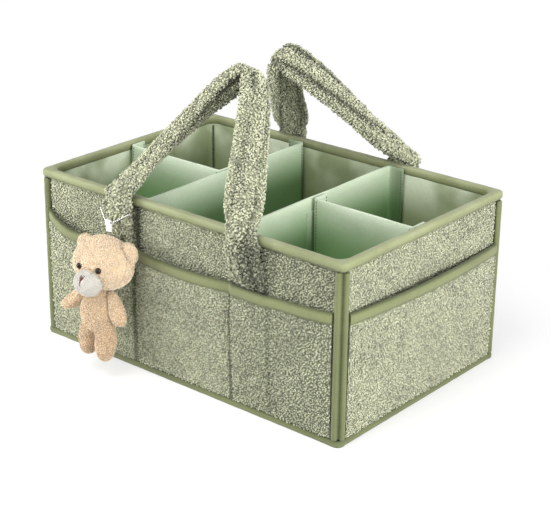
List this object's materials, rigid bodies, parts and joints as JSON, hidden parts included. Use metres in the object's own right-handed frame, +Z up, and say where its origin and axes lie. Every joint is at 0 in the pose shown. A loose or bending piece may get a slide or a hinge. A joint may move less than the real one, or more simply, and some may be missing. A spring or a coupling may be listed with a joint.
{
  "type": "diaper caddy",
  "caption": "Open fleece diaper caddy with bound edges, outside pockets, two folding carrying straps, lift-out dividers and a small stuffed bear on a ball chain.",
  "frame": {"origin": "middle of the base, on its underside", "axes": "+X along the length towards the caddy's right end, -Y the front with the bear, +Z up"},
  "size_m": [0.3972, 0.3315, 0.3066],
  "materials": {
    "fleece": "curly sage-green fleece",
    "binding": "smooth olive-sage tape",
    "lining": "pale grey-green satin lining",
    "stiff_board": "plain foam board, hidden",
    "divider_cloth": "mint cloth with a slight sheen",
    "fastener_tape": "hook-and-loop tape",
    "bear_plush": "warm beige plush",
    "muzzle_plush": "off-white plush",
    "nose_thread": "brown stitched nose",
    "eye": "glossy near-black bead",
    "ribbon": "white ribbon",
    "chain_steel": "bright steel ball chain"
  },
  "bodies": {
    "root": {"front_board": "stiff_board", "right_board": "stiff_board", "back_board": "stiff_board", "left_board": "stiff_board", "base_board": "stiff_board", "front_fleece": "fleece", "right_fleece": "fleece", "back_fleece": "fleece", "left_fleece": "fleece", "base_cloth": "fleece", "lining_bag": "lining", "rim_binding": "binding", "base_binding": "binding", "front_left_corner_binding": "binding", "front_right_corner_binding": "binding", "back_right_corner_binding": "binding", "back_left_corner_binding": "binding", "front_pocket": "fleece", "right_pocket": "fleece", "back_pocket": "fleece", "left_pocket": "fleece", "front_pocket_binding": "binding", "right_pocket_binding": "binding", "back_pocket_binding": "binding", "left_pocket_binding": "binding", "front_strap_left_end": "fleece", "front_strap_right_end": "fleece", "back_strap_left_end": "fleece", "back_strap_right_end": "fleece", "ball_chain": "chain_steel"},
    "front_strap": {"front_strap": "fleece"},
    "back_strap": {"back_strap": "fleece"},
    "left_cross_divider": {"left_cross_divider": "divider_cloth", "left_cross_hook_strip_front": "fastener_tape", "left_cross_hook_strip_back": "fastener_tape", "left_cross_loop_strip": "fastener_tape"},
    "left_half_divider": {"left_half_divider": "divider_cloth", "left_half_hook_strip_wall": "fastener_tape", "left_half_hook_strip_cross": "fastener_tape"},
    "right_cross_divider": {"right_cross_divider": "divider_cloth", "right_cross_hook_strip_front": "fastener_tape", "right_cross_hook_strip_back": "fastener_tape", "right_cross_loop_strip": "fastener_tape"},
    "right_half_divider": {"right_half_divider": "divider_cloth", "right_half_hook_strip_wall": "fastener_tape", "right_half_hook_strip_cross": "fastener_tape"},
    "ribbon": {"ribbon_tab": "ribbon"},
    "bear": {"bear_head": "bear_plush", "bear_body": "bear_plush", "bear_muzzle": "muzzle_plush", "bear_nose": "nose_thread", "bear_right_ear": "bear_plush", "bear_right_eye": "eye", "bear_right_arm": "bear_plush", "bear_right_leg": "bear_plush", "bear_left_ear": "bear_plush", "bear_left_eye": "eye", "bear_left_arm": "bear_plush", "bear_left_leg": "bear_plush"}
  },
  "joints": [
    {"name": "front_strap_fold", "type": "hinge", "parent": "root", "child": "front_strap", "pos_m": [0, -0.1338, 0.181], "axis": [1, 0, 0], "range_deg": [-5, 132]},
    {"name": "back_strap_fold", "type": "hinge", "parent": "root", "child": "back_strap", "pos_m": [0, 0.1338, 0.181], "axis": [-1, 0, 0], "range_deg": [-5, 132]},
    {"name": "left_cross_lift", "type": "slide", "parent": "root", "child": "left_cross_divider", "axis": [0, 0, 1], "range_m": [0, 0.008]},
    {"name": "right_cross_lift", "type": "slide", "parent": "root", "child": "right_cross_divider", "axis": [0, 0, 1], "range_m": [0, 0.008]},
    {"name": "left_half_lift", "type": "slide", "parent": "root", "child": "left_half_divider", "axis": [0, 0, 1], "range_m": [0, 0.18]},
    {"name": "right_half_lift", "type": "slide", "parent": "root", "child": "right_half_divider", "axis": [0, 0, 1], "range_m": [0, 0.18]},
    {"name": "pendant_swing_out", "type": "hinge", "parent": "root", "child": "ribbon", "pos_m": [-0.0745, -0.1468, 0.155], "axis": [-1, 0, 0], "range_deg": [0, 25]},
    {"name": "pendant_swing_side", "type": "hinge", "parent": "ribbon", "child": "bear", "pos_m": [-0.0745, -0.1468, 0.1461], "axis": [0, -1, 0], "range_deg": [-20, 20]}
  ]
}
